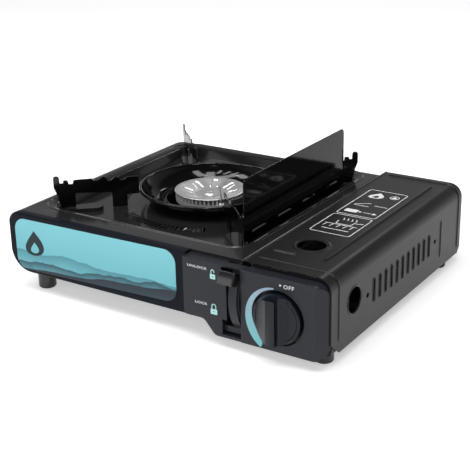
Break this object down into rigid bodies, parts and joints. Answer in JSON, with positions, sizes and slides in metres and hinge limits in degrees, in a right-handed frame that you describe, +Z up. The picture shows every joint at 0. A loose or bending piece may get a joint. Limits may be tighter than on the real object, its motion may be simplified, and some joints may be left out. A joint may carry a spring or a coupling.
{
  "type": "butane cassette stove",
  "caption": "Portable butane stove with a sunken burner tray, lift-off pan support, wind shield, gas knob, lock lever and a hinged lid over the cartridge bay.",
  "frame": {"origin": "on the floor plane, under the middle of the whole stove", "axes": "+X to the right along the front, +Y to the back, +Z up"},
  "size_m": [0.343, 0.2958, 0.1304],
  "materials": {
    "painted_plate": "satin black powder coat",
    "painted_case": "satin black powder coat",
    "dark_plastic": "fine textured dark grey",
    "label_print": "printed film, teal fading to dark grey",
    "gloss_black": "polished black",
    "black_enamel": "glossy black enamel",
    "zinc_steel": "zinc plated",
    "steel_pin": "plain steel",
    "cast_alloy": "die cast",
    "cap_alloy": "satin pressed aluminium",
    "brass": "machined",
    "rubber": "black",
    "ceramic": "white glazed",
    "nylon": "black nylon",
    "lead_sleeve": "red silicone sleeve"
  },
  "bodies": {
    "base": {"bottom_case": "painted_case", "top_plate": "painted_plate", "front_panel": "dark_plastic", "front_label": "label_print", "control_housing": "dark_plastic", "lever_pin": "steel_pin", "lever_bracket": "zinc_steel", "pusher_guides": "nylon", "cradle_rails": "nylon", "bulkhead": "zinc_steel", "heat_shield": "zinc_steel", "valve_body": "cast_alloy", "diaphragm_cover": "zinc_steel", "cover_screws": "zinc_steel", "cartridge_socket": "cast_alloy", "socket_seal": "rubber", "gas_pipe": "brass", "jet_nozzle": "brass", "mixing_tube": "zinc_steel", "mixer_saddle": "zinc_steel", "burner_cup": "cast_alloy", "burner_bracket": "zinc_steel", "burner_head": "cast_alloy", "burner_cap": "cap_alloy", "electrode_ceramic": "ceramic", "electrode_pin": "steel_pin", "electrode_bracket": "zinc_steel", "piezo_igniter": "nylon", "igniter_clip": "nylon", "ignition_lead": "lead_sleeve", "hinge_brackets": "zinc_steel", "hinge_pins": "steel_pin", "front_feet": "gloss_black", "rear_feet": "rubber", "case_screws": "zinc_steel"},
    "knob": {"knob": "dark_plastic", "valve_spindle": "brass", "ignition_cam": "nylon"},
    "plunger": {"piezo_plunger": "steel_pin"},
    "lock_lever": {"lock_lever": "gloss_black"},
    "pusher": {"pusher_rod": "zinc_steel", "pusher_plate": "zinc_steel"},
    "pan_support": {"drip_bowl": "black_enamel", "pan_blades": "black_enamel"},
    "wind_shield": {"wind_shield": "black_enamel"},
    "lid": {"lid": "painted_plate"}
  },
  "joints": [
    {"name": "knob_turn", "type": "hinge", "parent": "base", "child": "knob", "pos_m": [0.12735, -0.12815, 0.0411], "axis": [0, -1, 0], "range_deg": [0, 150]},
    {"name": "plunger_press", "type": "slide", "parent": "base", "child": "plunger", "axis": [-0.866, 0, -0.5], "range_m": [0, 0.00351]},
    {"name": "lever_swing", "type": "hinge", "parent": "base", "child": "lock_lever", "pos_m": [0.07955, -0.09415, 0.047], "axis": [1, 0, 0], "range_deg": [0, 50]},
    {"name": "pusher_slide", "type": "slide", "parent": "base", "child": "pusher", "axis": [0, -1, 0], "range_m": [0, 0.00762]},
    {"name": "lid_hinge", "type": "hinge", "parent": "base", "child": "lid", "pos_m": [0.09515, -0.12815, 0.077], "axis": [0, -1, 0], "range_deg": [0, 100]},
    {"name": "pan_support_lift", "type": "slide", "parent": "base", "child": "pan_support", "axis": [0, 0, 1], "range_m": [0, 0.066]},
    {"name": "wind_shield_lift", "type": "slide", "parent": "base", "child": "wind_shield", "axis": [0, 0, 1], "range_m": [0, 0.066]}
  ],
  "couplings": [
    {"joint": "plunger_press", "follows": "knob_turn", "m_per_rad": 0.0013369},
    {"joint": "pusher_slide", "follows": "lever_swing", "m_per_rad": 0.0087171}
  ]
}
